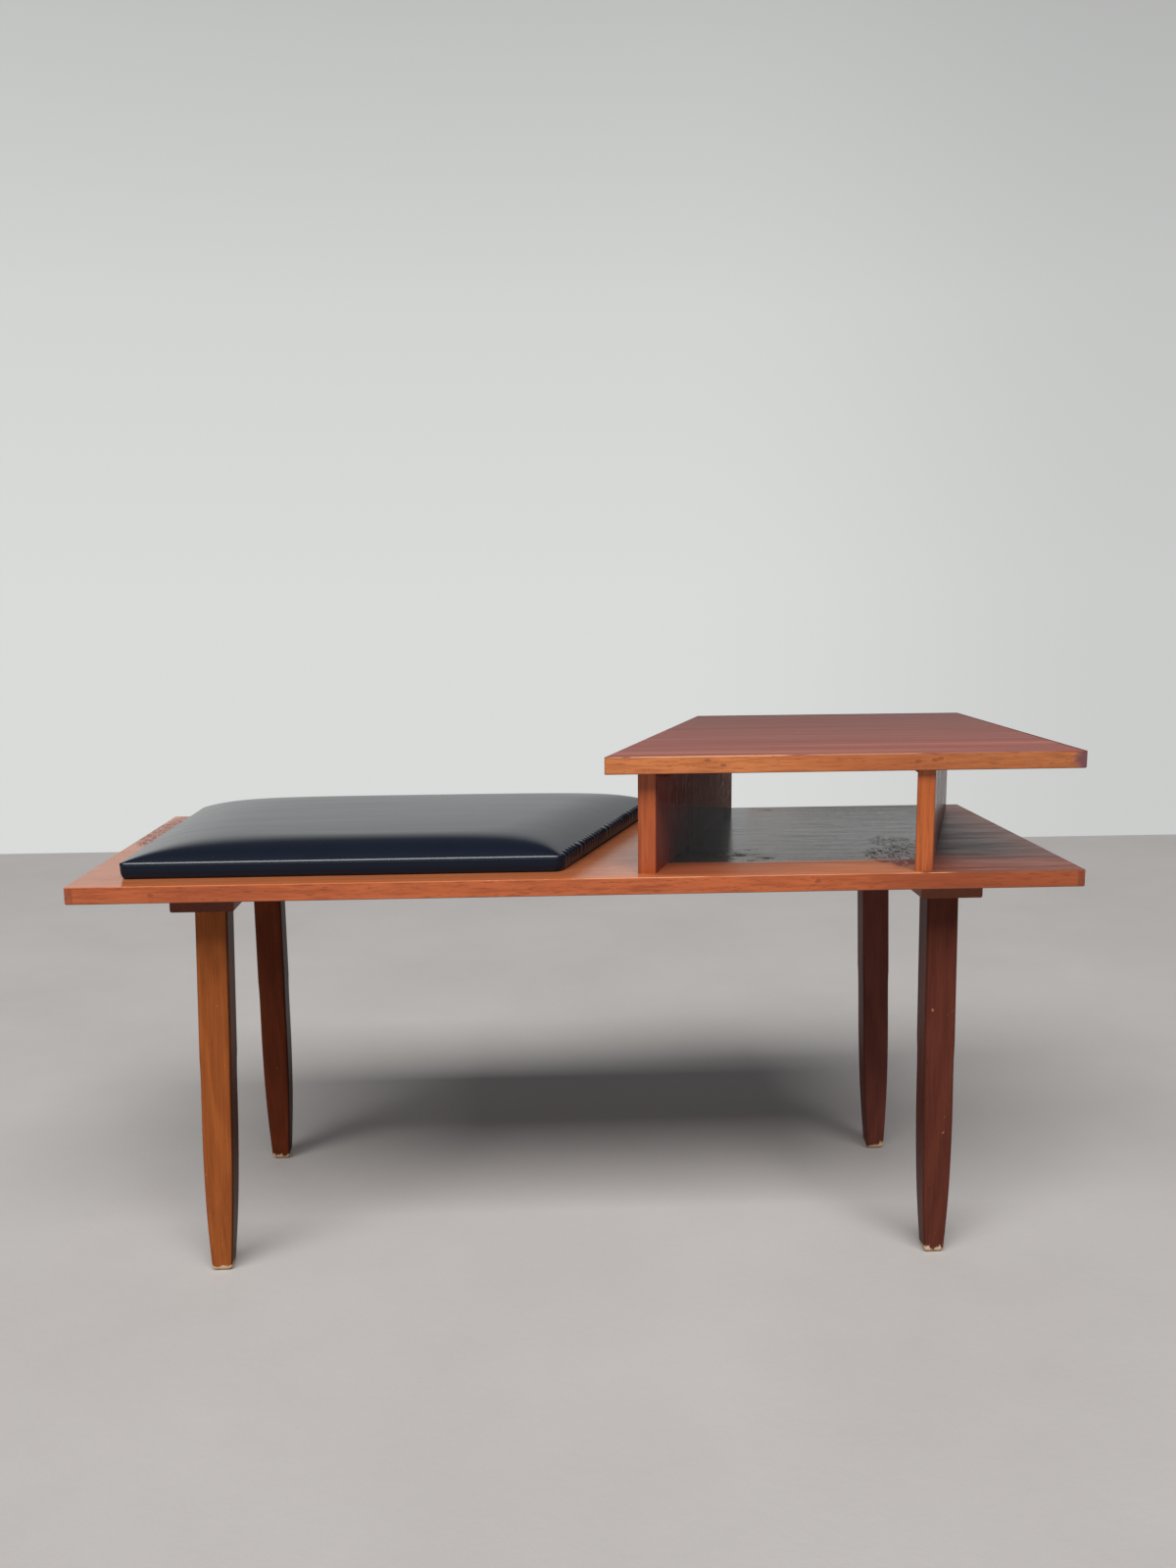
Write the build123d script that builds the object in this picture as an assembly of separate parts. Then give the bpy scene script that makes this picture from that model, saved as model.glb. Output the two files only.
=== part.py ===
from build123d import *
import os
from math import cos, radians, sin, tan

# Telephone bench. One long bench board on four tapered legs carries a seat pad at its
# left and, at its right, two slanted uprights with a raised shelf on them.
# Millimetres, +Z up, +X to the sitter's right hand as seen from the front, +Y to the back.
# The origin is on the floor, under the middle of the bench board.

# ---- driving dimensions -------------------------------------------------------------

BENCH_LENGTH = 1000.0
BENCH_DEPTH = 390.0
BENCH_TOP = 430.0        # floor to the top of the bench board
BOARD = 17.0             # finished thickness of every board
SHELF_TOP = 549.0        # floor to the top of the shelf
SHELF_FRONT_LENGTH = 475.0
SHELF_END_INSET = 4.0    # the shelf's right end, short of the bench board's
SLANT = 19.8             # degrees, uprights, shelf end and seat end off the front-back line

LIPPING = 8.0            # solid edge strips
VENEER = 0.7
BOARD_CORNER = 2.0       # rounding of a board's upright corners
ARRIS = 0.5              # small bevel along the faces' edges
END_ROUND = 2.5          # rounding of the lower edge of a board's square end
END_CROSSING = 0.03      # how far that round's cylinder stands out past both faces, to cross them

UPRIGHT_DEPTH = 366.0    # an upright's run from front to back, along Y
LEFT_UPRIGHT_X = 55.4    # left face of each upright at its front end
LEFT_SETBACK = 17.5      # bench board's front edge to that end
RIGHT_UPRIGHT_X = 329.8
RIGHT_SETBACK = 6.5      # the two were not set quite level with each other

CLEAT_WIDTH = 64.0
CLEAT_THICK = 21.5
CLEAT_INSET = 86.0       # board's end to the cleat's outer face
CLEAT_SETBACK = 48.0     # board's front to the cleat's front end
CLEAT_ROUND = 2.0

LEG = 32.5               # square section of a leg at its top
LEG_INSET = 110.0        # board's end to the leg's outer face
LEG_ROUND = 4.0
LEG_STRAIGHT = 157.0     # parallel part below the cleat
# share of the leg's height above the floor, and the section there as a share of LEG
LEG_TAPER = [(0.42, 0.97), (0.30, 0.943), (0.195, 0.88), (0.11, 0.79), (0.06, 0.72)]
FOOT_SHARE = 0.655       # the foot's section, as a share of LEG
FOOT_ROUND = 6.0
FOOT_STEPS = 3           # rings that make the foot's rounding
# Each leg leans a little in its own way, as old glued joints settle: its side and end of
# the bench, and how far its foot stands out of plumb along X and along Y.
LEGS = {
    "front_left_leg": (-1, -1, -9.9, 0.0),
    "front_right_leg": (1, -1, 2.6, -6.0),
    "back_left_leg": (-1, 1, 0.2, 6.0),
    "back_right_leg": (1, 1, 7.8, -10.0),
}

SEAT_LEFT = 42.5         # bench board's left end to the seat pad
SEAT_FRONT = 29.5        # bench board's front edge to the seat pad, and the same behind
SEAT_FRONT_LENGTH = 438.5
SEAT_BAND = 15.5         # height of the pad's side band
SEAT_HEIGHT = 34.0       # bench board to the top of the pad's crown
SEAT_CORNER = 11.0
SEAT_TUCK = 3.0          # how far the band is drawn in at its foot
SEAT_WAIST = 0.4         # share of the band's height where the drawing in is nearly over
WAIST_TUCK = 0.6         # and what is left of it there
COVER = 1.2              # coated fabric with its backing
SEAT_BOARD = 12.0
SEAT_BOARD_INSET = 0.3   # the seat board's edge, further in than the foam's
HEM = 26.0               # cover folded in under the seat board
CROWN_RUNS = (50.0, 95.0, 50.0, 130.0)   # front, right, back and left side in to the level top
CROWN_POWER = 2.7        # how quickly the crown levels off
CROWN_STEPS = 10
CROWN_CROWDING = 1.3     # power that sets the crown's steps closer where it is steep
CORNER_GROWTH = 34.0     # how much rounder the crown's corners are at the top than at the band

SCREW_HEAD = 4.0         # radius
SCREW_SHANK = 2.0
SCREW_POINT = 0.5
SCREW_HEAD_DEPTH = 2.4
SCREW_SLOT = 0.9
SCREW_COVER = 5.0        # wood left between a cleat screw's point and the board's top
CLEAT_SCREW_Y = (-85.0, 0.0, 85.0)
UPRIGHT_SCREW = 45.0     # length
UPRIGHT_SCREW_SHARES = (0.12, 0.5, 0.88)   # of the upright's run
SEAT_SCREW_INSET = 55.0  # pad's sides to its screws
SEAT_SCREW_FRONT_RUN = 320.0
SEAT_SCREW_BACK_RUN = 400.0
SEAT_SCREW_GRIP = 9.0    # in the seat board

DOWEL = 4.0              # radius, shelf to uprights
DOWEL_SHARES = (0.2, 0.5, 0.8)
DOWEL_IN_UPRIGHT = 18.0
DOWEL_IN_SHELF = 11.0
LEG_DOWEL = 7.0          # radius, leg to cleat
LEG_DOWEL_IN_LEG = 32.0
LEG_DOWEL_IN_CLEAT = 18.0
DOWEL_BEVEL = 1 / 6      # of a dowel's radius
GLUE_GAP = 0.5           # left at the bottom of a dowel hole

BLOCK_WIDTH = 20.0       # glue blocks: width on the shelf
BLOCK_HEIGHT = 11.0      # and height on the upright
BLOCK_LENGTH = 60.0
BLOCK_Y = (-142.0, 92.0)    # front ends of the front and the back block

STAPLE = (11.0, 0.9, 0.6)   # crown length, wire width, wire thickness
STAPLE_LEG = 7.0
STAPLE_PITCH = 42.0
STAPLE_INSET = 15.6      # pad's edge to the row of staples

# ---- worked out from them -----------------------------------------------------------

LEAN = tan(radians(SLANT))
SKEW = 1 / cos(radians(SLANT))      # a thickness across the slant, measured along X
FRONT = -BENCH_DEPTH / 2
BACK = BENCH_DEPTH / 2
LEFT = -BENCH_LENGTH / 2
RIGHT = BENCH_LENGTH / 2
BENCH_UNDER = BENCH_TOP - BOARD
SHELF_UNDER = SHELF_TOP - BOARD
CLEAT_UNDER = BENCH_UNDER - CLEAT_THICK
CLEAT_X = RIGHT - CLEAT_INSET - CLEAT_WIDTH / 2
LEG_X = RIGHT - LEG_INSET - LEG / 2
LEG_Y = BACK - CLEAT_SETBACK - LEG / 2
UPRIGHT_WIDTH = BOARD * SKEW

pieces = {}


def plate(points, low, high, rounded=()):
    """A flat plate over a plan outline; rounded lists the corners that are eased."""
    face = Polygon(*points, align=None)
    if rounded:
        near = [min(face.vertices(), key=lambda v: abs(v.X - x) + abs(v.Y - y)) for x, y in rounded]
        face = fillet(near, BOARD_CORNER)
    return Pos(0, 0, low) * extrude(face, high - low)


def bevel(solid, direction):
    """Ease the outer edges of a veneer, on the face that looks along direction."""
    outer = solid.faces().sort_by(Axis((0, 0, 0), direction))[-1]
    return chamfer(outer.edges(), ARRIS)


def drill(names, tools):
    """Cut the same holes through every piece that they pass."""
    for name in names:
        pieces[name] = pieces[name] - tools


# ---- bench board and shelf ----------------------------------------------------------
# Each is a blockboard core with solid strips glued round its edges, the end strips running
# through from front to back, and a veneer laid over core and strips on both faces.

def lipped_board(name, left_front, lean, right, top):
    """Core, four edge strips and two veneers; lean is the left end's run per mm of depth."""
    skew = (1 + lean ** 2) ** 0.5
    low = top - BOARD + VENEER
    high = top - VENEER
    inner = right - LIPPING

    def outer_left(y):
        return left_front + (y - FRONT) * lean

    def inner_left(y):
        return outer_left(y) + LIPPING * skew

    def strip(start, end):
        points = [(inner_left(start), start), (inner, start), (inner, end), (inner_left(end), end)]
        return plate(points, low, high)

    corners = [(outer_left(FRONT), FRONT), (right, FRONT), (right, BACK), (outer_left(BACK), BACK)]
    left_points = [corners[0], (inner_left(FRONT), FRONT), (inner_left(BACK), BACK), corners[3]]
    right_points = [(inner, FRONT), corners[1], corners[2], (inner, BACK)]
    pieces[name + "_core"] = strip(FRONT + LIPPING, BACK - LIPPING)
    pieces[name + "_front_lipping"] = strip(FRONT, FRONT + LIPPING)
    pieces[name + "_back_lipping"] = strip(BACK - LIPPING, BACK)
    pieces[name + "_left_lipping"] = plate(left_points, low, high, [corners[0], corners[3]])
    pieces[name + "_right_lipping"] = plate(right_points, low, high, corners[1:3])
    over = plate(corners, high, top, corners)
    under = plate(corners, top - BOARD, low, corners)
    pieces[name + "_top_veneer"] = bevel(over, (0, 0, 1))
    pieces[name + "_underside_veneer"] = bevel(under, (0, 0, -1))


def round_under(board, end, side, x, low):
    """Round the lower edge of a board's end at x, which looks along side, in strip and veneer."""
    inset = END_ROUND - END_CROSSING
    corner = Pos(x, 0, low) * Box(2 * END_ROUND, BENCH_DEPTH + 2, 2 * END_ROUND)
    corner -= Pos(x - side * inset, 0, low + inset) * Rot(90, 0, 0) * Cylinder(END_ROUND, BENCH_DEPTH + 4)
    drill([f"{board}_{end}_lipping", board + "_underside_veneer"], corner)


SHELF_RIGHT = RIGHT - SHELF_END_INSET
lipped_board("bench", LEFT, 0.0, RIGHT, BENCH_TOP)
lipped_board("shelf", SHELF_RIGHT - SHELF_FRONT_LENGTH, LEAN, SHELF_RIGHT, SHELF_TOP)
round_under("bench", "left", -1, LEFT, BENCH_UNDER)
round_under("bench", "right", 1, RIGHT, BENCH_UNDER)
round_under("shelf", "right", 1, SHELF_RIGHT, SHELF_UNDER)


# ---- uprights -----------------------------------------------------------------------
# Two parallel boards that stand aslant between the bench board and the shelf. Each has a
# core, an edge strip at the front and at the back, and a veneer on each face.

def upright(name, x, y):
    """One upright; (x, y) is its left front corner."""
    skin = VENEER * SKEW
    inner = UPRIGHT_WIDTH - 2 * skin

    def layer(across, width, start, depth):
        """A part of the board, across from its left face and start behind its front end."""
        left = x + across + start * LEAN
        near = y + start
        run = depth * LEAN
        far = near + depth
        points = [(left, near), (left + width, near), (left + width + run, far), (left + run, far)]
        return plate(points, BENCH_TOP, SHELF_UNDER)

    pieces[name + "_core"] = layer(skin, inner, LIPPING, UPRIGHT_DEPTH - 2 * LIPPING)
    pieces[name + "_front_lipping"] = layer(skin, inner, 0, LIPPING)
    pieces[name + "_back_lipping"] = layer(skin, inner, UPRIGHT_DEPTH - LIPPING, LIPPING)
    pieces[name + "_left_veneer"] = layer(0, skin, 0, UPRIGHT_DEPTH)
    pieces[name + "_right_veneer"] = layer(skin + inner, skin, 0, UPRIGHT_DEPTH)


UPRIGHTS = {
    "left_upright": (LEFT_UPRIGHT_X, FRONT + LEFT_SETBACK),
    "right_upright": (RIGHT_UPRIGHT_X, FRONT + RIGHT_SETBACK),
}
for name, (x, y) in UPRIGHTS.items():
    upright(name, x, y)


def upright_centres(name, shares):
    """The points on an upright's middle plane at shares of its run from front to back."""
    x, y = UPRIGHTS[name]
    depths = [share * UPRIGHT_DEPTH for share in shares]
    return [(x + UPRIGHT_WIDTH / 2 + depth * LEAN, y + depth) for depth in depths]


# ---- glue blocks --------------------------------------------------------------------
# Short three-cornered blocks in the two upper corners of the bay, glued to the shelf's
# underside and to the upright's inner face.

def glue_blocks(x, y, side):
    """Both blocks of the upright face that starts at (x, y); side is where they stand."""
    section = Polygon((0, 0), (side * BLOCK_WIDTH, 0), (0, -BLOCK_HEIGHT), align=None)
    along = (sin(radians(SLANT)), cos(radians(SLANT)), 0)
    blocks = []
    for start in BLOCK_Y:
        place = Pos(x + (start - y) * LEAN, start, SHELF_UNDER) * Rot(0, 0, -SLANT) * Rot(90, 0, 0)
        blocks.append(extrude(place * section, BLOCK_LENGTH, dir=along))
    return Compound(children=blocks)


left_x, left_y = UPRIGHTS["left_upright"]
pieces["left_glue_blocks"] = glue_blocks(left_x + UPRIGHT_WIDTH, left_y, 1)
pieces["right_glue_blocks"] = glue_blocks(*UPRIGHTS["right_upright"], -1)


# ---- cleats -------------------------------------------------------------------------
# A flat bar under each end of the bench board, screwed to it; the legs stand under it.

def cleat(side):
    length = BENCH_DEPTH - 2 * CLEAT_SETBACK
    bar = Box(CLEAT_WIDTH, length, CLEAT_THICK)
    bar = Pos(side * CLEAT_X, 0, BENCH_UNDER - CLEAT_THICK / 2) * bar
    lower = bar.edges().filter_by(Axis.Y).group_by(Axis.Z)[0]
    return fillet(lower, CLEAT_ROUND)


pieces["left_cleat"] = cleat(-1)
pieces["right_cleat"] = cleat(1)


# ---- legs ---------------------------------------------------------------------------
# Square legs with eased corners, parallel at the top and then tapered in a slow curve to
# a foot of two thirds the section, with a well rounded lower edge.

def leg(x, y, out_x, out_y):
    """A leg whose top is centred on (x, y) and whose foot stands out of plumb by out_x, out_y."""

    def section(z, share, inset=0.0):
        """The square at a height; its corners' rounding halves over the foot's rounding."""
        size = LEG * share - 2 * inset
        drop = 1 - z / CLEAT_UNDER
        corner = LEG_ROUND * share * (1 - inset / (2 * FOOT_ROUND))
        return Pos(x + out_x * drop, y + out_y * drop, z) * RectangleRounded(size, size, corner)

    knee = CLEAT_UNDER - LEG_STRAIGHT
    upper = loft([section(CLEAT_UNDER, 1), section(knee, 1)], ruled=True)
    heights = [(knee, 1)] + [(share * CLEAT_UNDER, size) for share, size in LEG_TAPER]
    heights.append((FOOT_ROUND, FOOT_SHARE))
    lower = loft([section(z, size) for z, size in heights])
    foot = []
    for step in range(FOOT_STEPS + 1):
        turn = radians(90) * (1 - step / FOOT_STEPS)
        rise = FOOT_ROUND * (1 - cos(turn))
        inset = FOOT_ROUND * (1 - sin(turn))
        foot.append(section(rise, FOOT_SHARE, inset))
    return upper + lower + loft(foot)


for name, (side, end, out_x, out_y) in LEGS.items():
    pieces[name] = leg(side * LEG_X, end * LEG_Y, out_x, out_y)


# ---- seat pad -----------------------------------------------------------------------
# A plywood board with a foam pad on it, covered in coated fabric that is pulled over the
# board's edge and stapled under it. Its right end runs along the slant.

def seat_corners(inset, share=0.0):
    """The pad's four corners in plan, each side moved in by inset and by a share of its crown's run."""
    front_in, right_in, back_in, left_in = [inset + share * run for run in CROWN_RUNS]
    front = FRONT + SEAT_FRONT + front_in
    back = BACK - SEAT_FRONT - back_in
    left = LEFT + SEAT_LEFT + left_in
    right_front = LEFT + SEAT_LEFT + SEAT_FRONT_LENGTH + front_in * LEAN - right_in * SKEW
    right_back = right_front + (back - front) * LEAN
    return [(left, front), (right_front, front), (right_back, back), (left, back)]


def seat_plan(z, inset, corner, share=0.0):
    face = Polygon(*seat_corners(inset, share), align=None)
    return Pos(0, 0, z) * fillet(face.vertices(), corner)


def seat_dome(skin):
    """The slope and crown above the band, all of it a cover's thickness further in.

    At a share of its run in from the band the pad has risen by 1 - (1 - share)^CROWN_POWER of
    its height above the band. The run is short at the front and back, where the foam ends
    steeply, and longer at the two ends, where the cover has pressed it down.
    """
    base = BENCH_TOP + SEAT_BAND - skin
    rise = SEAT_HEIGHT - SEAT_BAND
    plans = []
    for step in range(CROWN_STEPS + 1):
        share = (step / CROWN_STEPS) ** CROWN_CROWDING
        height = rise * (1 - (1 - share) ** CROWN_POWER)
        corner = SEAT_CORNER + share * CORNER_GROWTH
        plans.append(seat_plan(base + height, skin, corner, share))
    return loft(plans, ruled=True)


def seat_band(low, high, skin, tuck):
    """The side band, drawn in by tuck at its foot and straight in its upper half."""
    waist = low + (high - low) * SEAT_WAIST
    levels = [(low, tuck), (waist, WAIST_TUCK), (high, 0.0)]
    return loft([seat_plan(z, inset + skin, SEAT_CORNER) for z, inset in levels], ruled=True)


PAD_FOOT = BENCH_TOP
BOARD_FOOT = BENCH_TOP + COVER
BOARD_HEAD = BOARD_FOOT + SEAT_BOARD
DOME_FOOT = BENCH_TOP + SEAT_BAND - COVER

outside = seat_band(PAD_FOOT, BENCH_TOP + SEAT_BAND, 0.0, SEAT_TUCK) + seat_dome(0.0)
seat_board = seat_band(BOARD_FOOT, BOARD_HEAD, COVER + SEAT_BOARD_INSET, SEAT_TUCK)
skirt_foot = seat_plan(BOARD_HEAD, COVER + SEAT_BOARD_INSET, SEAT_CORNER)
foam_skirt = loft([skirt_foot, seat_plan(DOME_FOOT, COVER, SEAT_CORNER)], ruled=True)
foam = foam_skirt + seat_dome(COVER)
hem_opening = extrude(seat_plan(PAD_FOOT - 1, HEM, SEAT_CORNER), COVER + 2)

pieces["seat_base_board"] = seat_board
pieces["seat_foam"] = foam
pieces["seat_cover"] = outside - seat_board - foam - hem_opening


# ---- screws, dowels and staples -----------------------------------------------------

def screw(x, y, z, length, slotted=True):
    """A countersunk wood screw driven upwards, its head level with z."""
    tip = SCREW_SHANK * 2
    up = (Align.CENTER, Align.CENTER, Align.MIN)
    body = Cone(SCREW_HEAD, SCREW_SHANK, SCREW_HEAD_DEPTH, align=up)
    body += Cylinder(SCREW_SHANK, length - tip, align=up)
    body += Pos(0, 0, length - tip) * Cone(SCREW_SHANK, SCREW_POINT, tip, align=up)
    if slotted:
        body -= Box(2 * SCREW_HEAD, SCREW_SLOT, SCREW_SLOT, align=up)
    return Pos(x, y, z) * body


def screws(name, places, z, length, through):
    """A group of like screws, and their holes in the pieces that they pass."""
    pieces[name] = Compound(children=[screw(x, y, z, length) for x, y in places])
    drill(through, [screw(x, y, z, length, slotted=False) for x, y in places])


def dowels(name, places, radius, low, high, into):
    """A group of like dowels with eased ends, and their holes."""
    span = high - low
    middle = (low + high) / 2
    pin = Cylinder(radius, span)
    pin = chamfer(pin.edges().filter_by(GeomType.CIRCLE), radius * DOWEL_BEVEL)
    pieces[name] = Compound(children=[Pos(x, y, middle) * pin for x, y in places])
    drill(into, [Pos(x, y, middle) * Cylinder(radius, span + 2 * GLUE_GAP) for x, y in places])


for side, name in ((-1, "left"), (1, "right")):
    places = [(side * CLEAT_X, y) for y in CLEAT_SCREW_Y]
    through = [name + "_cleat", "bench_underside_veneer", "bench_core"]
    screws(name + "_cleat_screws", places, CLEAT_UNDER, CLEAT_THICK + BOARD - SCREW_COVER, through)

bench_layers = ["bench_underside_veneer", "bench_core", "bench_top_veneer"]
for name in UPRIGHTS:
    places = upright_centres(name, UPRIGHT_SCREW_SHARES)
    screws(name + "_screws", places, BENCH_UNDER, UPRIGHT_SCREW, bench_layers + [name + "_core"])

for name in UPRIGHTS:
    places = upright_centres(name, DOWEL_SHARES)
    ends = (SHELF_UNDER - DOWEL_IN_UPRIGHT, SHELF_UNDER + DOWEL_IN_SHELF)
    dowels(name + "_dowels", places, DOWEL, *ends, [name + "_core", "shelf_underside_veneer", "shelf_core"])

leg_tops = [(side * LEG_X, end * LEG_Y) for side, end, *_ in LEGS.values()]
ends = (CLEAT_UNDER - LEG_DOWEL_IN_LEG, CLEAT_UNDER + LEG_DOWEL_IN_CLEAT)
dowels("leg_dowels", leg_tops, LEG_DOWEL, *ends, ["left_cleat", "right_cleat", *LEGS])

seat_screw_left = LEFT + SEAT_LEFT + SEAT_SCREW_INSET
seat_screw_front = FRONT + SEAT_FRONT + SEAT_SCREW_INSET
seat_screw_places = [
    (seat_screw_left, seat_screw_front),
    (seat_screw_left + SEAT_SCREW_FRONT_RUN, seat_screw_front),
    (seat_screw_left, -seat_screw_front),
    (seat_screw_left + SEAT_SCREW_BACK_RUN, -seat_screw_front),
]
seat_screw = BOARD + COVER + SEAT_SCREW_GRIP
screws("seat_screws", seat_screw_places, BENCH_UNDER, seat_screw, bench_layers + ["seat_base_board"])


def staple(x, y, turn):
    crown, width, thick = STAPLE
    up = (Align.CENTER, Align.CENTER, Align.MIN)
    wire = Box(crown, width, thick, align=up)
    for end in (-1, 1):
        wire += Pos(end * (crown - thick) / 2, 0, 0) * Box(thick, width, STAPLE_LEG, align=up)
    return Pos(x, y, BENCH_TOP) * Rot(0, 0, turn) * wire


def staple_row(start, end):
    """Staples at even steps between two points, their crowns along the line."""
    run = Vector(*end) - Vector(*start)
    count = round(run.length / STAPLE_PITCH)
    turn = Vector(1, 0).get_signed_angle(run, Vector(0, 0, 1))
    steps = [Vector(*start) + run * ((i + 0.5) / count) for i in range(count)]
    return [staple(p.X, p.Y, turn) for p in steps]


hem_line = seat_corners(STAPLE_INSET)
staples = []
for start, end in zip(hem_line, hem_line[1:] + hem_line[:1]):
    staples += staple_row(start, end)
pieces["cover_staples"] = Compound(children=staples)
drill(["seat_cover", "seat_base_board"], staples)


# ---- write each piece ---------------------------------------------------------------

os.makedirs("parts", exist_ok=True)
for name, piece in pieces.items():
    export_step(piece, "parts/" + name + ".step")
    size = piece.bounding_box().size
    print(f"{name:28s} {len(piece.solids()):3d} solids {size.X:8.1f} {size.Y:8.1f} {size.Z:8.1f}")
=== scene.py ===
from math import cos, radians, tan

import bpy
import numpy as np
from mathutils import Matrix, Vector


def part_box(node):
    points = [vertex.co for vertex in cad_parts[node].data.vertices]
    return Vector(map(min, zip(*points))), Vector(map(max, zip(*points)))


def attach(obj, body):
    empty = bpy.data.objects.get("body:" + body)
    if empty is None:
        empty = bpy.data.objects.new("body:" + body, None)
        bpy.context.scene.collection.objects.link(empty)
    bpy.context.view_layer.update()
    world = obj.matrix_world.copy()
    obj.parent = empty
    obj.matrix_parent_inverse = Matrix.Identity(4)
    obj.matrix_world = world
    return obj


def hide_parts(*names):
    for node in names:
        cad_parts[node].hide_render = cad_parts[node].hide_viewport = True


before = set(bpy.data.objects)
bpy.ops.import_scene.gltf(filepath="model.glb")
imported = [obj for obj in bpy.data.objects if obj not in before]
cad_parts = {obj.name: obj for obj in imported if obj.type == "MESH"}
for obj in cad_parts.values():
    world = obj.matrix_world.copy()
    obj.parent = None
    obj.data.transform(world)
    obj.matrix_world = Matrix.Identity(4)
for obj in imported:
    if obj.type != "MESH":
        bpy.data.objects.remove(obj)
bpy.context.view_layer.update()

# ---- Bench board ------------------------------------------------------------------------
# A metre-long blockboard panel. Solid strips are glued round its edges, a reddish veneer is
# laid on both faces, and the whole is stained and lacquered. Its top is the seat's base.

SLANT = radians(19.8)              # uprights, shelf end and pad end, off the front-back line
LEAN = tan(SLANT)
FRONT_STRIP = 0.066                # front edge to the dark veneer of the bay
BAY_SIDES = (0.065, 0.341)         # where the bay's two sides meet the line of the uprights' front
BAY_BLUR = 0.003                   # half the width of the bay's soft left and right limits
FLAKED = (                         # x and y, reach of each, strength
    ((0.334, -0.114), (0.034, 0.054), 1.0),
    ((0.354, -0.046), (0.032, 0.040), 0.3),
    ((-0.484, 0.090), (0.017, 0.100), 0.75),
)
SCRATCHED = (                      # x and y, reach of each
    ((0.176, -0.098), (0.034, 0.032)),
    ((0.242, 0.172), (0.014, 0.010)),
)
PALE_ARRIS_BENCH = (                   # start and end in x of the front arris's pale stretches, strength
    (-0.02, 0.13, 0.9), (0.13, 0.28, 0.45), (0.30, 0.375, 0.8), (-0.47, -0.30, 0.3), (-0.30, -0.02, 0.15),
)
BENCH_KNOTS = [(-0.418, 0.421), (0.232, 0.4235)]
KNOT_REACH = (0.0036, 0.0020)
bench_low, bench_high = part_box("bench_top_veneer")
upright_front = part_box("left_upright_front_lipping")[0].y


def stain(red, green, blue):
    """A colour as the eye reads it, 0 to 255 each, as the linear values that a finish needs."""
    share = np.array([red, green, blue]) / 255
    linear = np.where(share <= 0.04045, share / 12.92, ((share + 0.055) / 1.055) ** 2.4)
    return (*linear.tolist(), 1.0)


def shade(colour, share):
    """A colour made darker or lighter by a share."""
    return tuple(part * share for part in colour[:3]) + (1.0,)


def put(tree, kind, inputs=None, **settings):
    """Add a node of a kind. inputs maps a socket's name or number to a value or another socket."""
    made = tree.nodes.new("ShaderNode" + kind)
    for key, value in settings.items():
        setattr(made, key, value)
    for socket, value in (inputs or {}).items():
        if isinstance(value, bpy.types.NodeSocket):
            tree.links.new(value, made.inputs[socket])
        else:
            made.inputs[socket].default_value = value
    return made


def reckon(tree, operation, *terms):
    """The outcome of one step of arithmetic on numbers and sockets."""
    return put(tree, "Math", dict(enumerate(terms)), operation=operation).outputs[0]


def rise(tree, value, low, high):
    """0 below low and 1 above high, or the other way round where low is the larger, smooth between."""
    made = put(tree, "MapRange", {0: value, 1: low, 2: high}, interpolation_type="SMOOTHSTEP")
    return made.outputs[0]


def blend(tree, share, first, second):
    """first where share is 0 and second where it is 1."""
    return put(tree, "Mix", {0: share, 6: first, 7: second}, data_type="RGBA").outputs[2]


def mixed(tree, share, first, second):
    """The same for plain numbers."""
    return put(tree, "Mix", {0: share, 2: first, 3: second}).outputs[0]


def place(tree):
    """Where a point of the surface is in the bench, in metres: the whole vector, x, y and z."""
    point = put(tree, "TexCoord").outputs["Object"]
    apart = put(tree, "SeparateXYZ", {0: point})
    return point, *apart.outputs


def cloud(tree, point, scale, detail=3.0, coarse=0.5, shift=0.0, swirl=0.0):
    """Noise from 0 to 1 with its own scale per axis, in blotches per metre."""
    spot = put(tree, "Mapping", {0: point, 1: (shift, shift * 1.7, shift * 2.3), 3: scale}).outputs[0]
    values = {"Vector": spot, "Scale": 1.0, "Detail": detail, "Roughness": coarse, "Distortion": swirl}
    return put(tree, "TexNoise", values).outputs[0]


def along(axis, length, width):
    """A scale for cloud() that draws blotches out along an axis: per metre along it and across it."""
    return tuple(length if i == axis else width for i in range(3))


def wood(tree, axis, light, dark, shift=0.0, figure=0.5, fibre=0.5):
    """Colour and relief of a wood with its grain along an axis.

    The share of dark mixes three: a growth figure (the sine of 62 times a slow noise drawn out
    along the grain), a slow tone, and a fine fibre. Short dark pores lie on top.
    """
    point = place(tree)[0]
    bend = cloud(tree, point, along(axis, 2.2, 14), 2.0, 0.5, shift)
    tone = cloud(tree, point, along(axis, 1.1, 22), 2.0, 0.5, shift + 3)
    rings = reckon(tree, "SINE", reckon(tree, "MULTIPLY", bend, 62.0))
    rings = rise(tree, rings, -1.0, 1.0)
    hair = cloud(tree, point, along(axis, 14, 620), 4.0, 0.62, shift + 7)
    hair = rise(tree, hair, 0.3, 0.7)
    share = mixed(tree, figure, tone, rings)
    share = mixed(tree, fibre, share, hair)
    colour = blend(tree, share, light, dark)
    pore = cloud(tree, point, along(axis, 95, 1500), 2.0, 0.5, shift + 11)
    pore = rise(tree, pore, 0.66, 0.74)
    colour = blend(tree, reckon(tree, "MULTIPLY", pore, 0.6), colour, shade(dark, 0.45))
    relief = reckon(tree, "SUBTRACT", hair, pore)
    return colour, relief


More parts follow.
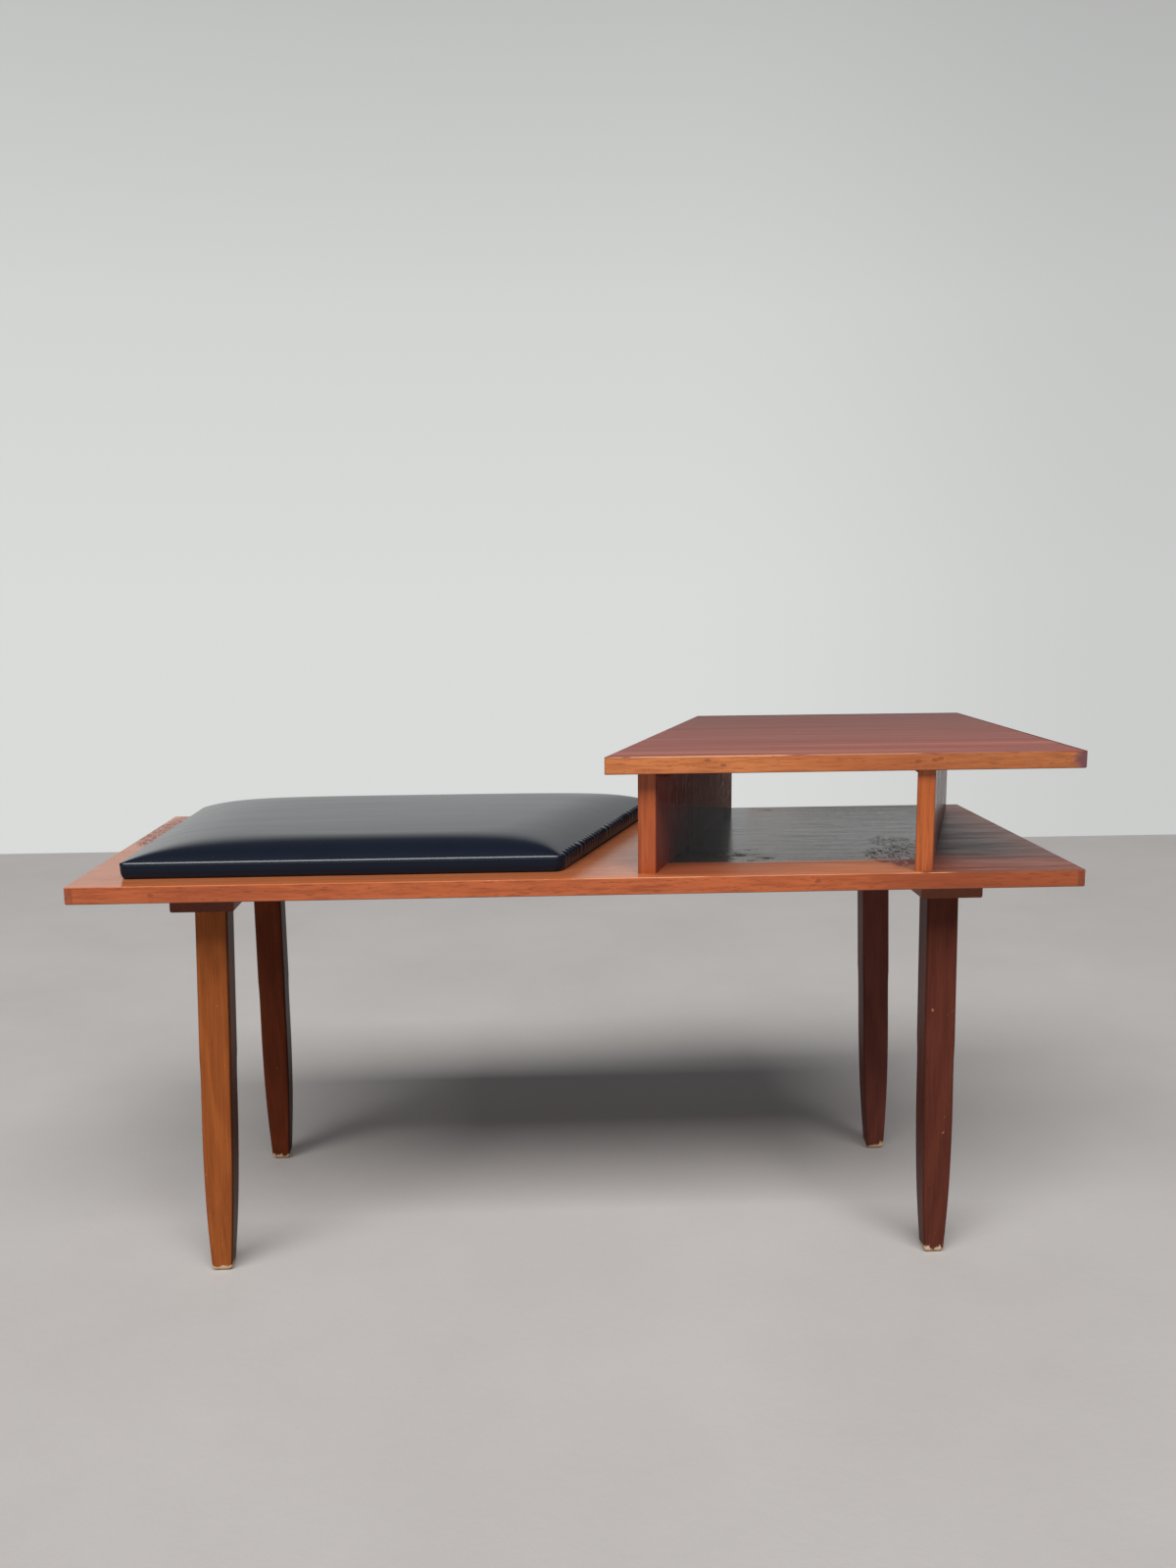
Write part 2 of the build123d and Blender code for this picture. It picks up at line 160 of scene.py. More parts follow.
def finish(name, build, **sockets):
    """A material with one Principled shader.

    build(tree) returns its colour, roughness and relief, and the relief's depth in metres.
    """
    made = bpy.data.materials.new(name)
    made.use_nodes = True
    tree = made.node_tree
    shader = tree.nodes["Principled BSDF"]
    for key, value in sockets.items():
        shader.inputs[key.replace("_", " ").title().replace("Ior", "IOR")].default_value = value
    colour, rough, relief, depth = build(tree)
    tree.links.new(colour, shader.inputs["Base Color"])
    tree.links.new(rough, shader.inputs["Roughness"])
    bump = put(tree, "Bump", {"Strength": 1.0, "Distance": depth, "Height": relief})
    tree.links.new(bump.outputs[0], shader.inputs["Normal"])
    return made


def dress(material, *nodes):
    """Give CAD nodes a material."""
    for node in nodes:
        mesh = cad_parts[node].data
        mesh.materials.clear()
        mesh.materials.append(material)


def blot(tree, spot, centre, reach, ragged=0.0, grain=60.0):
    """1 in an oval round centre, 0 outside, with an edge broken by noise.

    spot is the point and the two of its coordinates that centre and reach are given in.
    Far = length of ((first - c1) / r1, (second - c2) / r2), plus (noise - 1/2) * ragged.
    """
    point, first, second = spot
    one = reckon(tree, "DIVIDE", reckon(tree, "SUBTRACT", first, centre[0]), reach[0])
    two = reckon(tree, "DIVIDE", reckon(tree, "SUBTRACT", second, centre[1]), reach[1])
    far = reckon(tree, "ADD", reckon(tree, "POWER", one, 2.0), reckon(tree, "POWER", two, 2.0))
    far = reckon(tree, "SQRT", far)
    if ragged:
        noise = cloud(tree, point, (grain, grain, grain), 4.0, 0.6, 5.0)
        far = reckon(tree, "ADD", far, reckon(tree, "MULTIPLY", reckon(tree, "SUBTRACT", noise, 0.5), ragged))
    return rise(tree, far, 1.0, 0.75)


def blockboard(tree):
    """Raw softwood laths side by side, seen only at screw holes."""
    colour, relief = wood(tree, 0, stain(205, 170, 122), stain(172, 132, 88), 21.0, 0.3, 0.4)
    rough = mixed(tree, 0.4, 0.75, relief)
    return colour, rough, relief, 0.0002


def edge_strip(light, dark, axis, shift, knots=(), ends=()):
    """A solid strip's finish: fine mottled grain along the strip, small knots and short flecks, and painted
    shade towards the bench's right end.

    knots are places in x and z on the front face. ends are a place along x, a reach and a tone each, where
    the strip turns to that tone towards that end.
    """
    def build(tree):
        point, x, _, z = place(tree)
        colour, relief = wood(tree, axis, light, shade(dark, 0.8), shift, 0.15, 0.45)
        mottle = cloud(tree, point, along(axis, 26, 300), 3.0, 0.6, shift + 2)
        colour = blend(tree, rise(tree, mottle, 0.38, 0.66), shade(light, 1.03), colour)
        drift = cloud(tree, point, along(axis, 3.0, 12), 2.0, 0.5, shift + 5)
        colour = blend(tree, rise(tree, drift, 0.4, 0.75), colour, dark)
        # Painted shade: the strip darkens by up to a fifth towards the bench's right end.
        right_end_shade = reckon(tree, "MULTIPLY", rise(tree, x, 0.20, 0.42), 0.2)
        colour = blend(tree, right_end_shade, colour, stain(0, 0, 0))
        fleck = rise(tree, cloud(tree, point, along(axis, 85, 700), 3.0, 0.6, shift + 9), 0.57, 0.68)
        colour = blend(tree, reckon(tree, "MULTIPLY", fleck, 0.6), colour, shade(dark, 0.5))
        for centre in knots:
            knot = blot(tree, (point, x, z), centre, KNOT_REACH, 0.9, 420.0)
            colour = blend(tree, reckon(tree, "MULTIPLY", knot, 0.5), colour, stain(118, 52, 30))
        for start, reach, tone in ends:
            ragged = cloud(tree, point, (120, 30, 210), 4.0, 0.7, shift)
            near = reckon(tree, "ABSOLUTE", reckon(tree, "SUBTRACT", x, start))
            near = reckon(tree, "ADD", near, reckon(tree, "MULTIPLY", ragged, reach * 2.4))
            colour = blend(tree, rise(tree, near, reach * 2.8, reach * 1.7), colour, tone)
        rough = mixed(tree, mottle, 0.34, 0.5)
        return colour, rough, relief, 0.00006
    return build


def pale_arris(tree, point, x, depth, front, stretches, shift):
    """Share of a pale line along a front arris, rubbed wood and a painted highlight: a broken line about 1 mm
    wide, on stretches of x.
    """
    rub = cloud(tree, point, (30, 90, 90), 4.0, 0.7, shift)
    edge = reckon(tree, "SUBTRACT", depth, reckon(tree, "MULTIPLY", rub, 0.005))
    pale_edge = rise(tree, edge, front - 0.0012, front - 0.0021)
    here = 0.0
    for start, end, strength in stretches:
        part = reckon(tree, "MULTIPLY", rise(tree, x, start, start + 0.02), rise(tree, x, end, end - 0.02))
        here = reckon(tree, "MAXIMUM", here, reckon(tree, "MULTIPLY", part, strength))
    return reckon(tree, "MULTIPLY", pale_edge, here)


def bench_top(tree):
    """Reddish veneer under a glossy lacquer, red along the front and dark in the bay.

    Station = where a line along the slant through a point meets the uprights' front. Bay = between the
    uprights and the front strip's depth or more behind the front edge. In front of the bay the lacquer is
    satin, with painted shade near the left upright. Right of the bay it is dark and dull, a little paler
    beside the right upright, and clears towards the front. The lacquer has lifted in thin ridges at FLAKED,
    with pale specks in front.
    """
    point, x, y, _ = place(tree)
    colour, relief = wood(tree, 0, stain(200, 120, 76), stain(166, 92, 56), 1.0, 0.3, 0.5)
    back = reckon(tree, "SUBTRACT", y, upright_front)
    station = reckon(tree, "SUBTRACT", x, reckon(tree, "MULTIPLY", back, LEAN))
    strip = bench_low.y + FRONT_STRIP
    wave = reckon(tree, "MULTIPLY", cloud(tree, point, (18, 18, 18), 2.0, 0.5, 9.0), 0.004)
    depth = reckon(tree, "SUBTRACT", y, wave)
    bay_left, bay_right = BAY_SIDES
    inside = rise(tree, station, bay_left - BAY_BLUR, bay_left + BAY_BLUR)
    inside = reckon(tree, "MULTIPLY", inside, rise(tree, station, bay_right + BAY_BLUR, bay_right - BAY_BLUR))
    inside = reckon(tree, "MULTIPLY", inside, rise(tree, depth, strip - 0.005, strip))
    beyond = rise(tree, station, bay_right - BAY_BLUR, bay_right + BAY_BLUR)
    behind = rise(tree, depth, strip - 0.064, strip + 0.018)
    paler = mixed(tree, rise(tree, x, 0.6, 0.40), 0.75, 0.92)
    beyond = reckon(tree, "MULTIPLY", beyond, mixed(tree, behind, 0.85, paler))
    # The bay's own nearly black-brown tone.
    bay_tone = wood(tree, 0, stain(60, 40, 34), stain(34, 25, 23), 2.0, 0.25, 0.7)[0]
    # Painted shade of the left upright, on the strip in front of the bay.
    shadowed = reckon(tree, "MULTIPLY", rise(tree, station, 0.05, 0.08), rise(tree, station, 0.26, 0.08))
    colour = blend(tree, reckon(tree, "MULTIPLY", shadowed, 0.7), colour, stain(128, 56, 34))
    colour = blend(tree, inside, colour, bay_tone)
    fibre = rise(tree, cloud(tree, point, (11, 95, 95), 4.0, 0.65, 23.0), 0.32, 0.68)
    colour = blend(tree, beyond, colour, blend(tree, fibre, stain(124, 52, 32), stain(88, 36, 22)))
    sheltered = reckon(tree, "MULTIPLY", beyond, rise(tree, station, 0.43, 0.36))
    sheltered = reckon(tree, "MULTIPLY", sheltered, rise(tree, depth, strip - 0.03, strip + 0.02))
    colour = blend(tree, reckon(tree, "MULTIPLY", sheltered, 0.2), colour, stain(170, 74, 48))
    satin = rise(tree, depth, strip - 0.002, strip - 0.014)
    satin = reckon(tree, "MULTIPLY", satin, rise(tree, station, 0.05, 0.07))
    hair = cloud(tree, point, (9, 190, 190), 4.0, 0.6, 21.0)
    rough = mixed(tree, rise(tree, hair, 0.35, 0.72), 0.10, 0.26)
    rough = mixed(tree, reckon(tree, "MAXIMUM", satin, beyond), rough, mixed(tree, fibre, 0.36, 0.48))
    for centre, reach, strength in FLAKED:
        flake = blot(tree, (point, x, y), centre, reach, 1.1, 60.0)
        flake = reckon(tree, "MULTIPLY", flake, strength)
        curl = cloud(tree, point, (105, 60, 60), 4.0, 0.62, 4.0, 2.2)
        fold = reckon(tree, "ABSOLUTE", reckon(tree, "SUBTRACT", curl, 0.5))
        ridge = reckon(tree, "MULTIPLY", flake, rise(tree, fold, 0.036, 0.016))
        grit = cloud(tree, point, (300, 100, 100), 3.0, 0.6, 6.0)
        frontward = rise(tree, y, centre[1] + reach[1] * 0.1, centre[1] - reach[1] * 0.8)
        speck = reckon(tree, "MULTIPLY", rise(tree, grit, 0.60, 0.66), frontward)
        speck = reckon(tree, "MULTIPLY", speck, flake)
        raw = reckon(tree, "MULTIPLY", flake, mixed(tree, frontward, 0.6, 0.9))
        colour = blend(tree, raw, colour, stain(146, 76, 64))
        colour = blend(tree, reckon(tree, "MULTIPLY", ridge, 0.95), colour, stain(126, 50, 38))
        colour = blend(tree, speck, colour, stain(206, 186, 174))
        rough = mixed(tree, reckon(tree, "MAXIMUM", ridge, speck), rough, 0.7)
        relief = reckon(tree, "ADD", relief, reckon(tree, "MULTIPLY", ridge, 14.0))
    for centre, reach in SCRATCHED:
        mark = blot(tree, (point, x, y), centre, reach, 1.2, 90.0)
        line = rise(tree, cloud(tree, point, (34, 150, 60), 4.0, 0.6, 13.0), 0.54, 0.60)
        mark = reckon(tree, "MULTIPLY", mark, line)
        colour = blend(tree, reckon(tree, "MULTIPLY", mark, 0.8), colour, stain(50, 32, 29))
        rough = mixed(tree, mark, rough, 0.45)
        relief = reckon(tree, "ADD", relief, reckon(tree, "MULTIPLY", mark, 8.0))
    warm = rise(tree, depth, bench_low.y + 0.012, bench_low.y + 0.006)
    warm = reckon(tree, "MULTIPLY", warm, mixed(tree, rise(tree, x, 0.0, 0.4), 0.7, 0.05))
    colour = blend(tree, warm, colour, stain(204, 110, 62))
    # Pale front arris: rubbed wood and a painted highlight.
    pale_edge = pale_arris(tree, point, x, y, bench_low.y, PALE_ARRIS_BENCH, 17.0)
    colour = blend(tree, pale_edge, colour, stain(222, 152, 108))
    return colour, rough, relief, 0.00004


def underside(tree):
    """The same veneer below, where nobody rubs it: flat stain and a dusty, duller lacquer."""
    colour, relief = wood(tree, 0, stain(128, 66, 44), stain(92, 44, 32), 31.0, 0.4, 0.5)
    dust = cloud(tree, place(tree)[0], (16, 16, 16), 4.0, 0.6, 2.0)
    colour = blend(tree, reckon(tree, "MULTIPLY", dust, 0.25), colour, stain(150, 128, 112))
    return colour, mixed(tree, dust, 0.45, 0.65), relief, 0.00006


bench_front_finish = finish("bench_front_strip", edge_strip(
    stain(194, 100, 55), stain(160, 74, 37), 0, 0.4, BENCH_KNOTS,
    [(bench_low.x, 0.0035, stain(140, 70, 50)), (bench_high.x, 0.0045, stain(124, 66, 52))]))
bench_side_finish = finish("bench_side_strip", edge_strip(stain(172, 88, 52), stain(128, 58, 34), 1, 0.9))
dress(finish("blockboard", blockboard), "bench_core", "shelf_core", "left_upright_core", "right_upright_core")
dress(bench_front_finish, "bench_front_lipping", "bench_back_lipping")
dress(bench_side_finish, "bench_left_lipping", "bench_right_lipping")
dress(finish("bench_top_veneer_finish", bench_top), "bench_top_veneer")
dress(finish("underside_veneer_finish", underside), "bench_underside_veneer", "shelf_underside_veneer")

# ---- Cleats -----------------------------------------------------------------------------
# A flat hardwood bar under each end of the board, stained dark, held by three slotted
# countersunk screws from below.


def cleat_wood(tree):
    """Dark stain on a plain hardwood, with the grain from front to back, the right one paler."""
    colour, relief = wood(tree, 1, stain(118, 54, 26), stain(90, 38, 20), 41.0, 0.4, 0.5)
    right_one = rise(tree, place(tree)[1], -0.1, 0.1)
    colour = blend(tree, reckon(tree, "MULTIPLY", right_one, 0.5), colour, stain(148, 82, 52))
    rough = mixed(tree, cloud(tree, place(tree)[0], (40, 40, 40), 3.0, 0.5, 1.0), 0.38, 0.52)
    return colour, rough, relief, 0.00008


def screw_steel(tree):
    """Dull zinc-grey steel, turned and a little tarnished."""
    point = place(tree)[0]
    turned = cloud(tree, point, (900, 900, 60), 2.0, 0.5, 2.0)
    tarnish = cloud(tree, point, (300, 300, 300), 3.0, 0.6, 6.0)
    colour = blend(tree, tarnish, stain(168, 165, 158), stain(112, 104, 94))
    return colour, mixed(tree, tarnish, 0.32, 0.55), turned, 0.00003


steel = finish("screw_steel_finish", screw_steel, metallic=1.0)
cleat_finish = finish("cleat_stain", cleat_wood, specular_ior_level=0.3)
dress(cleat_finish, "left_cleat", "right_cleat")
dress(steel, "left_cleat_screws", "right_cleat_screws", "left_upright_screws", "right_upright_screws")
dress(steel, "seat_screws", "cover_staples")

# ---- Legs -------------------------------------------------------------------------------
# Four square hardwood legs, tapered to small feet, glued into the cleats on dowels. Each was
# cut from its own piece of wood, so the stain took differently on each.

LEG_TONES = {                      # lighter and darker tone of each leg, and the share of them left on its inner side by painted shade
    "front_left_leg": (stain(172, 96, 47), stain(130, 68, 34), 0.2),
    "front_right_leg": (stain(104, 54, 41), stain(79, 38, 30), 0.8),
    "back_left_leg": (stain(115, 54, 29), stain(85, 37, 22), 0.35),
    "back_right_leg": (stain(120, 66, 54), stain(92, 50, 43), 0.85),
}


def leg_wood(light, dark, inner_shade, shift):
    """Grain up the leg, a few pale dents, and the foot's lower edge rubbed to bare wood.

    The side that faces the bench's middle is darker, a painted shade: its colour there is the other sides'
    tone times the third argument, a share.
    """
    def build(tree):
        point, x, _, z = place(tree)
        colour, relief = wood(tree, 2, light, dark, shift, 0.45, 0.4)
        # Painted shade: the side facing the bench's middle is darkened to its share of the tone.
        looks = put(tree, "NewGeometry").outputs["Normal"]
        across = put(tree, "SeparateXYZ", {0: looks}).outputs[0]
        inward = reckon(tree, "MULTIPLY", across, reckon(tree, "MULTIPLY", reckon(tree, "SIGN", x), -1.0))
        shaded = blend(tree, inner_shade, stain(0, 0, 0), colour)
        colour = blend(tree, rise(tree, inward, 0.45, 0.85), colour, shaded)
        smear = cloud(tree, point, (30, 30, 9), 4.0, 0.55, shift + 1)
        colour = blend(tree, rise(tree, smear, 0.55, 0.85), colour, shade(dark, 0.7))
        dent = rise(tree, cloud(tree, point, (130, 130, 90), 2.0, 0.5, shift + 5), 0.74, 0.78)
        colour = blend(tree, reckon(tree, "MULTIPLY", dent, 0.5), colour, stain(196, 140, 96))
        chip = cloud(tree, point, (110, 110, 110), 3.0, 0.6, shift + 8)
        low = reckon(tree, "ADD", z, reckon(tree, "MULTIPLY", chip, 0.022))
        pale_edge = rise(tree, low, 0.0185, 0.0160)
        colour = blend(tree, pale_edge, colour, stain(222, 190, 158))
        rough = mixed(tree, smear, 0.3, 0.46)
        return colour, mixed(tree, pale_edge, rough, 0.75), relief, 0.00008
    return build


for i, (leg, tones) in enumerate(LEG_TONES.items()):
    dress(finish(leg + "_finish", leg_wood(*tones, 50.0 + 6 * i), specular_ior_level=0.06), leg)


def raw_wood(tree):
    """Plain beech and plywood, inside the joints and under the pad."""
    colour, relief = wood(tree, 2, stain(214, 178, 132), stain(184, 142, 98), 77.0, 0.2, 0.5)
    return colour, mixed(tree, relief, 0.6, 0.75), relief, 0.0001


dress(finish("raw_wood_finish", raw_wood), "leg_dowels", "left_upright_dowels", "right_upright_dowels",
      "seat_base_board")

# ---- Uprights ---------------------------------------------------------------------------
# Two boards set aslant on the bench board. Their front and back edges are orange solid
# strips with the grain upright, and their faces a dark, glossy veneer.

CHIPPED = ((0.150, 0.468), (0.034, 0.028))    # y and z, reach of each, on the left one's bay side
CRAZED = (0.06, 0.16)              # y from which the lacquer is crazed, and fully so


def upright_face(tree):
    """Nearly black-brown veneer, grain upright, redder towards the front edge.

    The lacquer is glossy, and crazed in upright streaks towards the back.
    """
    point, _, y, _ = place(tree)
    colour, relief = wood(tree, 2, stain(68, 34, 27), stain(38, 21, 18), 61.0, 0.4, 0.6)
    # Redder towards the front edge, over the front 19 cm.
    frontward_red = rise(tree, y, upright_front + 0.19, upright_front)
    colour = blend(tree, reckon(tree, "MULTIPLY", frontward_red, 0.9), colour, stain(128, 48, 34))
    streak = cloud(tree, point, (190, 190, 5), 3.0, 0.6, 2.0)
    crazed = rise(tree, y, *CRAZED)
    cracks = reckon(tree, "MULTIPLY", crazed, reckon(tree, "MULTIPLY", streak, 4.0))
    relief = reckon(tree, "ADD", relief, cracks)
    return colour, mixed(tree, rise(tree, streak, 0.4, 0.65), 0.05, 0.10), relief, 0.00006


def left_upright_face(tree):
    """The left upright's bay side: browner, with pale chips low down at its back end."""
    point, _, y, z = place(tree)
    colour, rough, relief, depth = upright_face(tree)
    colour = blend(tree, 0.55, colour, stain(132, 62, 48))
    chip = blot(tree, (point, y, z), *CHIPPED, 0.8, 120.0)
    fleck = rise(tree, cloud(tree, point, (240, 240, 90), 3.0, 0.65, 8.0), 0.54, 0.60)
    colour = blend(tree, reckon(tree, "MULTIPLY", chip, fleck), colour, stain(196, 182, 174))
    return colour, rough, relief, depth


def faded_upright_face(tree):
    """The right upright's sides and the left one's outer side: paler, duller and streaked."""
    point = place(tree)[0]
    colour, rough, relief, depth = upright_face(tree)
    streak = cloud(tree, point, (260, 260, 7), 3.0, 0.6, 12.0)
    colour = blend(tree, 0.75, colour, stain(152, 82, 50))
    return colour, mixed(tree, rise(tree, streak, 0.35, 0.65), 0.16, 0.38), relief, depth


def upright_edge(light, dark, shift):
    """Orange strip with its grain upright, in slow darker patches."""
    def build(tree):
        point = place(tree)[0]
        colour, relief = wood(tree, 2, light, dark, shift, 0.2, 0.5)
        tone = cloud(tree, point, (340, 60, 16), 3.0, 0.55, shift + 4)
        colour = blend(tree, rise(tree, tone, 0.45, 0.75), colour, shade(dark, 0.84))
        return colour, mixed(tree, tone, 0.34, 0.48), relief, 0.00008
    return build


dress(finish("left_upright_bay_finish", left_upright_face, specular_ior_level=0.045),
      "left_upright_right_veneer")
dress(finish("faded_upright_finish", faded_upright_face, specular_ior_level=0.3),
      "left_upright_left_veneer", "right_upright_left_veneer", "right_upright_right_veneer")
dress(finish("left_upright_strip", upright_edge(stain(198, 102, 53), stain(164, 76, 36), 3.0)),
      "left_upright_front_lipping", "left_upright_back_lipping")
dress(finish("right_upright_strip", upright_edge(stain(204, 108, 50), stain(170, 82, 36), 8.0)),
      "right_upright_front_lipping", "right_upright_back_lipping")
dress(cleat_finish, "left_glue_blocks", "right_glue_blocks")

# ---- Shelf ------------------------------------------------------------------------------
# The telephone's shelf: the same build as the bench board, doweled onto the uprights. Its
# front strip is a lighter wood than the bench's, and its veneer has a duller lacquer.

PALE_ARRIS_SHELF = ((0.02, 0.21, 1.0), (0.21, 0.34, 0.5), (0.34, 0.47, 0.25))
SHELF_KNOTS = [(0.3443, 0.5421), (0.3500, 0.5435), (0.3279, 0.5409), (0.1370, 0.5398), (0.1217, 0.5448)]
shelf_low, shelf_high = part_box("shelf_underside_veneer")[0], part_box("shelf_top_veneer")[1]


def shelf_top(tree):
    """Even reddish-brown veneer with straight grain and a satin lacquer.

    It is pale along the front arris, rubbed wood and a painted highlight, and darker and dull along its right
    and back arrises.
    """
    point, x, y, _ = place(tree)
    dark = stain(124, 49, 33)
    colour, relief = wood(tree, 0, stain(152, 66, 44), dark, 14.0, 0.2, 0.4)
    band = cloud(tree, point, (1.6, 38, 38), 3.0, 0.55, 4.0)
    colour = blend(tree, rise(tree, band, 0.45, 0.72), colour, stain(170, 86, 62))
    colour = blend(tree, rise(tree, y, shelf_low.y, shelf_high.y), colour, shade(dark, 0.82))
    sheen = cloud(tree, point, (2.5, 90, 90), 4.0, 0.6, 8.0)
    rim = reckon(tree, "MAXIMUM", rise(tree, x, shelf_high.x - 0.0045, shelf_high.x - 0.002),
                 rise(tree, y, shelf_high.y - 0.014, shelf_high.y - 0.004))
    colour = blend(tree, reckon(tree, "MULTIPLY", rim, 0.8), colour, stain(60, 28, 26))
    speck = rise(tree, cloud(tree, point, (95, 95, 95), 2.0, 0.5, 3.0), 0.78, 0.8)
    colour = blend(tree, speck, colour, stain(214, 176, 150))
    # Pale front arris: rubbed wood and a painted highlight.
    pale_edge = pale_arris(tree, point, x, y, shelf_low.y, PALE_ARRIS_SHELF, 19.0)
    colour = blend(tree, pale_edge, colour, stain(236, 172, 124))
    rough = mixed(tree, rim, mixed(tree, rise(tree, sheen, 0.3, 0.7), 0.40, 0.48), 0.7)
    return colour, rough, relief, 0.00004


shelf_finish = finish("shelf_front_strip", edge_strip(
    stain(212, 128, 74), stain(180, 97, 52), 0, 5.3, SHELF_KNOTS,
    [(shelf_high.x, 0.0105, stain(118, 74, 78))]))
dress(shelf_finish, "shelf_front_lipping", "shelf_back_lipping", "shelf_left_lipping", "shelf_right_lipping")
dress(finish("shelf_top_veneer_finish", shelf_top, specular_ior_level=0.35), "shelf_top_veneer")

# ---- Seat pad ---------------------------------------------------------------------------
# A plywood board with a foam pad, covered in near-black coated fabric. The cover is pulled
# over a crisp arris and down a low side band, gathered a little along the slanted end.

SEAT_BAND = 0.0155                 # height of the side band
CROWN_RUNS = (0.048, 0.080, 0.050, 0.118)    # front, right, back and left side in to the level top
CROWN_POWER = 2.6                  # how quickly the crown levels off
CORNER = 0.011                     # rounding of the pad's corners in plan
JOIN_POWER = 2.8                   # how sharply the crown turns from one side to the next
ARRIS = 0.0014                     # rounding of the arris over the band
ACROSS, DEEP = 210, 270            # cells along the pad and from front to back
CROWD_ACROSS, CROWD_DEEP = 0.7, 0.45         # how far the cells crowd towards the sides
BAND_SHAPE = (                     # share of the band's height, and how far in the band lies there
    (0.985, 0.00000), (0.955, -0.00018), (0.90, -0.00022), (0.80, 0.00000), (0.62, 0.00012),
    (0.45, 0.00022), (0.30, 0.0006), (0.18, 0.0012), (0.09, 0.0019), (0.03, 0.0026), (0.0, 0.0034),
)
UNDER_BAND = 0.97                  # rows of the band above this share drop with the rounded arris
HEM = (0.008, 0.026)               # how far in the turned-under cover reaches, in two steps
PLEAT_STEP, PLEAT_DEPTH = 0.0096, 0.0016
PLEAT_UP, PLEAT_DOWN = 0.006, 0.011          # reach in from the slanted side, and down its band
PLEAT_ENDS = (0.02, 0.03)          # fading of the pleats at the side's front and back end
PLEAT_LEAN = (0.6, 0.8)            # share of a pleat's depth that goes sideways, and upward
CLOTH_ACROSS, CLOTH_DEEP = 110, 72           # cells of the simulated cover
CLOTH_FRAMES = 20
CLOTH_SETTINGS = {
    "quality": 6, "tension_stiffness": 40, "compression_stiffness": 40, "shear_stiffness": 20,
    "bending_stiffness": 4, "use_pressure": True, "uniform_pressure_force": 4,
}
LIFT_CAP = 0.0012                  # furthest that the simulation may move a point
LIFT_ROUNDS = 160                  # how often its move is averaged
LIFT_HOLD = 0.01                   # distance from the arris over which the move sets in
seat_low, seat_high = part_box("seat_cover")
seat_depth = seat_high.y - seat_low.y
seat_rise = seat_high.z - seat_low.z - SEAT_BAND
# The sharp corner at the right back lies past the rounded one that the box holds.
seat_tip = seat_high.x + CORNER * (LEAN + 1 / cos(SLANT) - 1)


def plan(u, v):
    """Plan of the pad: u from left to right and v from front to back, 0 to 1, skewed at the right end."""
    front_length = seat_tip - seat_low.x - seat_depth * LEAN
    x = seat_low.x + u * (front_length + v * seat_depth * LEAN)
    y = seat_low.y + v * seat_depth
    return x, y


def eased(u, v, radius):
    """Pull the square's corners in to quarter rounds.

    Within radius of both sides, p and q being how far past the round's centre a point lies,
    (p, q) shrinks by max(p, q) / length(p, q), which turns the corner square into a quarter disc.
    """
    wide = radius / (seat_tip - seat_low.x)
    tall = radius / seat_depth
    p = np.maximum(np.abs(u - 0.5) - 0.5 + wide, 0) / wide
    q = np.maximum(np.abs(v - 0.5) - 0.5 + tall, 0) / tall
    length = np.maximum(np.hypot(p, q), 1e-9)
    shrink = np.where((p > 0) & (q > 0), np.maximum(p, q) / length, 1.0)
    near_u = np.where(p > 0, 0.5 - wide + p * wide * shrink, np.abs(u - 0.5))
    near_v = np.where(q > 0, 0.5 - tall + q * tall * shrink, np.abs(v - 0.5))
    return 0.5 + np.sign(u - 0.5) * near_u, 0.5 + np.sign(v - 0.5) * near_v


def side_gaps(x, y):
    """Distance of a point in plan to the pad's front, right, back and left side."""
    right = (seat_tip - (seat_high.y - y) * LEAN - x) * cos(SLANT)
    return np.stack([y - seat_low.y, right, seat_high.y - y, x - seat_low.x])


def joined(gaps):
    """The nearest of four gaps, joined softly.

    The sum of each to the power -JOIN_POWER, to the power -1 / JOIN_POWER.
    """
    return np.sum(np.maximum(gaps, 1e-5) ** -JOIN_POWER, axis=0) ** (-1 / JOIN_POWER)


def crown(gaps):
    """Height above the band: seat_rise * (1 - (1 - share) to the power CROWN_POWER).

    Share is the joined share of its run that a point lies in from each side. The foam ends
    steeply at the front and back, and the cover has pressed it down further at the two ends.
    """
    share = np.clip(joined(gaps / np.array(CROWN_RUNS).reshape(-1, 1, 1)), 0, 1)
    return seat_rise * (1 - (1 - share) ** CROWN_POWER)


def spread(count, crowd):
    """Shares from 0 to 1 that crowd towards both ends: t - crowd * sin(2 pi t) / (2 pi)."""
    t = np.linspace(0, 1, count + 1)
    return t - crowd * np.sin(2 * np.pi * t) / (2 * np.pi)


def gathers(x, y, height):
    """Small upright pleats where the cover is eased round the slanted end.

    Depth = PLEAT_DEPTH * a sine along the slanted side whose step wanders about PLEAT_STEP *
    an uneven strength, and fades at the side's ends, up the crown and down the band.
    """
    right = side_gaps(x, y)[1]
    run = (y - seat_low.y) / cos(SLANT)
    step = run / PLEAT_STEP + 0.3 * np.sin(run * 57) + 0.2 * np.sin(run * 131 + 1)
    strength = 0.8 + 0.2 * np.sin(run * 41 + 0.6) * np.sin(run * 23)
    left_to_run = seat_depth / cos(SLANT) - run
    ends = np.clip(run / PLEAT_ENDS[0], 0, 1) * np.clip(left_to_run / PLEAT_ENDS[1], 0, 1)
    inward = np.clip(1 - right / PLEAT_UP, 0, 1)
    downward = np.clip(1 - (SEAT_BAND - height) / PLEAT_DOWN, 0, 1)
    return PLEAT_DEPTH * np.sin(2 * np.pi * step) * strength * ends * inward * downward


def cells(rows, columns):
    """The four corners of each cell of a grid whose points are numbered row by row."""
    index = np.arange((rows + 1) * (columns + 1)).reshape(rows + 1, columns + 1)
    corners = [index[:-1, :-1], index[:-1, 1:], index[1:, 1:], index[1:, :-1]]
    return np.stack(corners, axis=-1).reshape(-1, 4)


